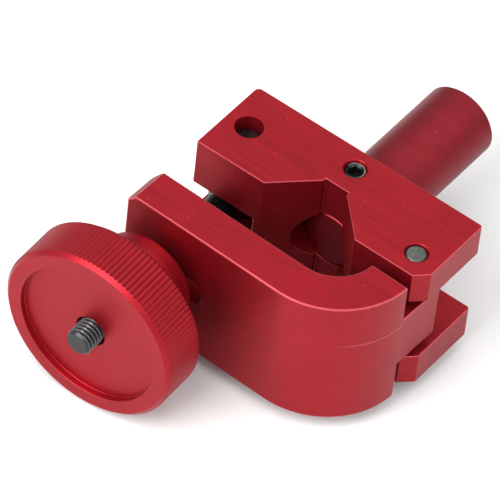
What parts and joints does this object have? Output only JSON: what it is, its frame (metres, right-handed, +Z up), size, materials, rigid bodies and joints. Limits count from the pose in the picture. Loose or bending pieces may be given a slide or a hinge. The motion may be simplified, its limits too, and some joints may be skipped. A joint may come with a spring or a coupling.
{
  "type": "phone handlebar mount clamp",
  "caption": "Tube clamp for a phone holder: V block body with a round spigot, a pivoting hooked arm and a swing bolt tightened by a knurled knob.",
  "frame": {"origin": "on the spigot's axis, in the plane of the body's back face", "axes": "+Y along the spigot, outwards from the body; +Z up, along both pivot pins and along the clamped tube; +X towards the arm's pivot"},
  "size_m": [0.0935, 0.1348, 0.054],
  "materials": {
    "anodised_aluminium": "satin red anodised, machined",
    "pin_steel": "plain ground steel, slightly dulled",
    "black_oxide_steel": "black oxide"
  },
  "bodies": {
    "body": {"v_block_body": "anodised_aluminium", "spigot": "anodised_aluminium", "spigot_set_screw": "black_oxide_steel", "arm_pivot_pin": "pin_steel", "arm_spacer_upper": "pin_steel", "arm_spacer_lower": "pin_steel", "bolt_pivot_pin": "black_oxide_steel"},
    "arm": {"clamp_arm": "anodised_aluminium"},
    "bolt": {"swing_bolt": "black_oxide_steel"},
    "washer": {"thrust_washer": "pin_steel"},
    "knob": {"knob": "anodised_aluminium"}
  },
  "joints": [
    {"name": "arm_swing", "type": "hinge", "parent": "body", "child": "arm", "pos_m": [0.0304, -0.0196, 0], "axis": [0, 0, 1], "range_deg": [-3, 10.5]},
    {"name": "bolt_swing", "type": "hinge", "parent": "body", "child": "bolt", "pos_m": [-0.0307, -0.01345, 0], "axis": [0, 0, 1], "range_deg": [-165, 0]},
    {"name": "knob_travel", "type": "slide", "parent": "bolt", "child": "washer", "axis": [0.0384, -0.9993, 0], "range_m": [-0.0032, 0.0114]},
    {"name": "knob_turn", "type": "hinge", "parent": "washer", "child": "knob", "pos_m": [-0.0307, -0.01345, 0], "axis": [0.0384, -0.9993, 0], "range_deg": [-900, 3240]}
  ],
  "couplings": [
    {"joint": "knob_travel", "follows": "knob_turn", "m_per_rad": 0.00019894},
    {"joint": "arm_swing", "follows": "knob_turn", "ratio": 0.0032088}
  ]
}
